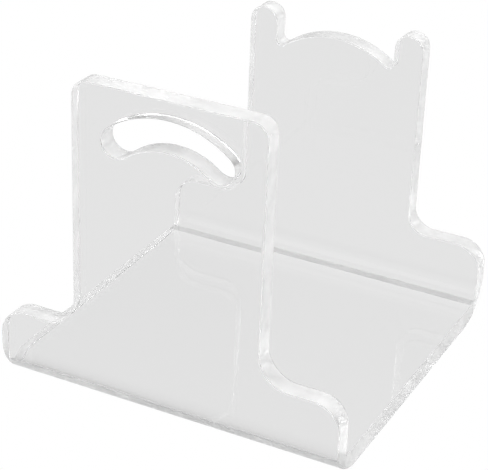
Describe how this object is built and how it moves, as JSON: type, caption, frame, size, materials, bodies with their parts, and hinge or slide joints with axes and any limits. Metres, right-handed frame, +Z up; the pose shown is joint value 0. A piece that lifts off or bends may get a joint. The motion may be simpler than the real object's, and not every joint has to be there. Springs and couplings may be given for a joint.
{
  "type": "hair dryer holder",
  "caption": "Clear acrylic stand with a flat base, a front panel with an arched slot, and a back panel with an arch between upright posts.",
  "frame": {"origin": "on the flat underside, in the middle of the footprint", "axes": "+X to the right seen from the front, +Y from the slotted front panel to the back panel, +Z up"},
  "size_m": [0.096, 0.1, 0.09],
  "materials": {
    "clear_acrylic": "clear cast acrylic sheet, glossy faces and polished cut edges"
  },
  "bodies": {
    "root": {"front_panel": "clear_acrylic", "base_plate": "clear_acrylic", "back_panel": "clear_acrylic"}
  },
  "joints": []
}
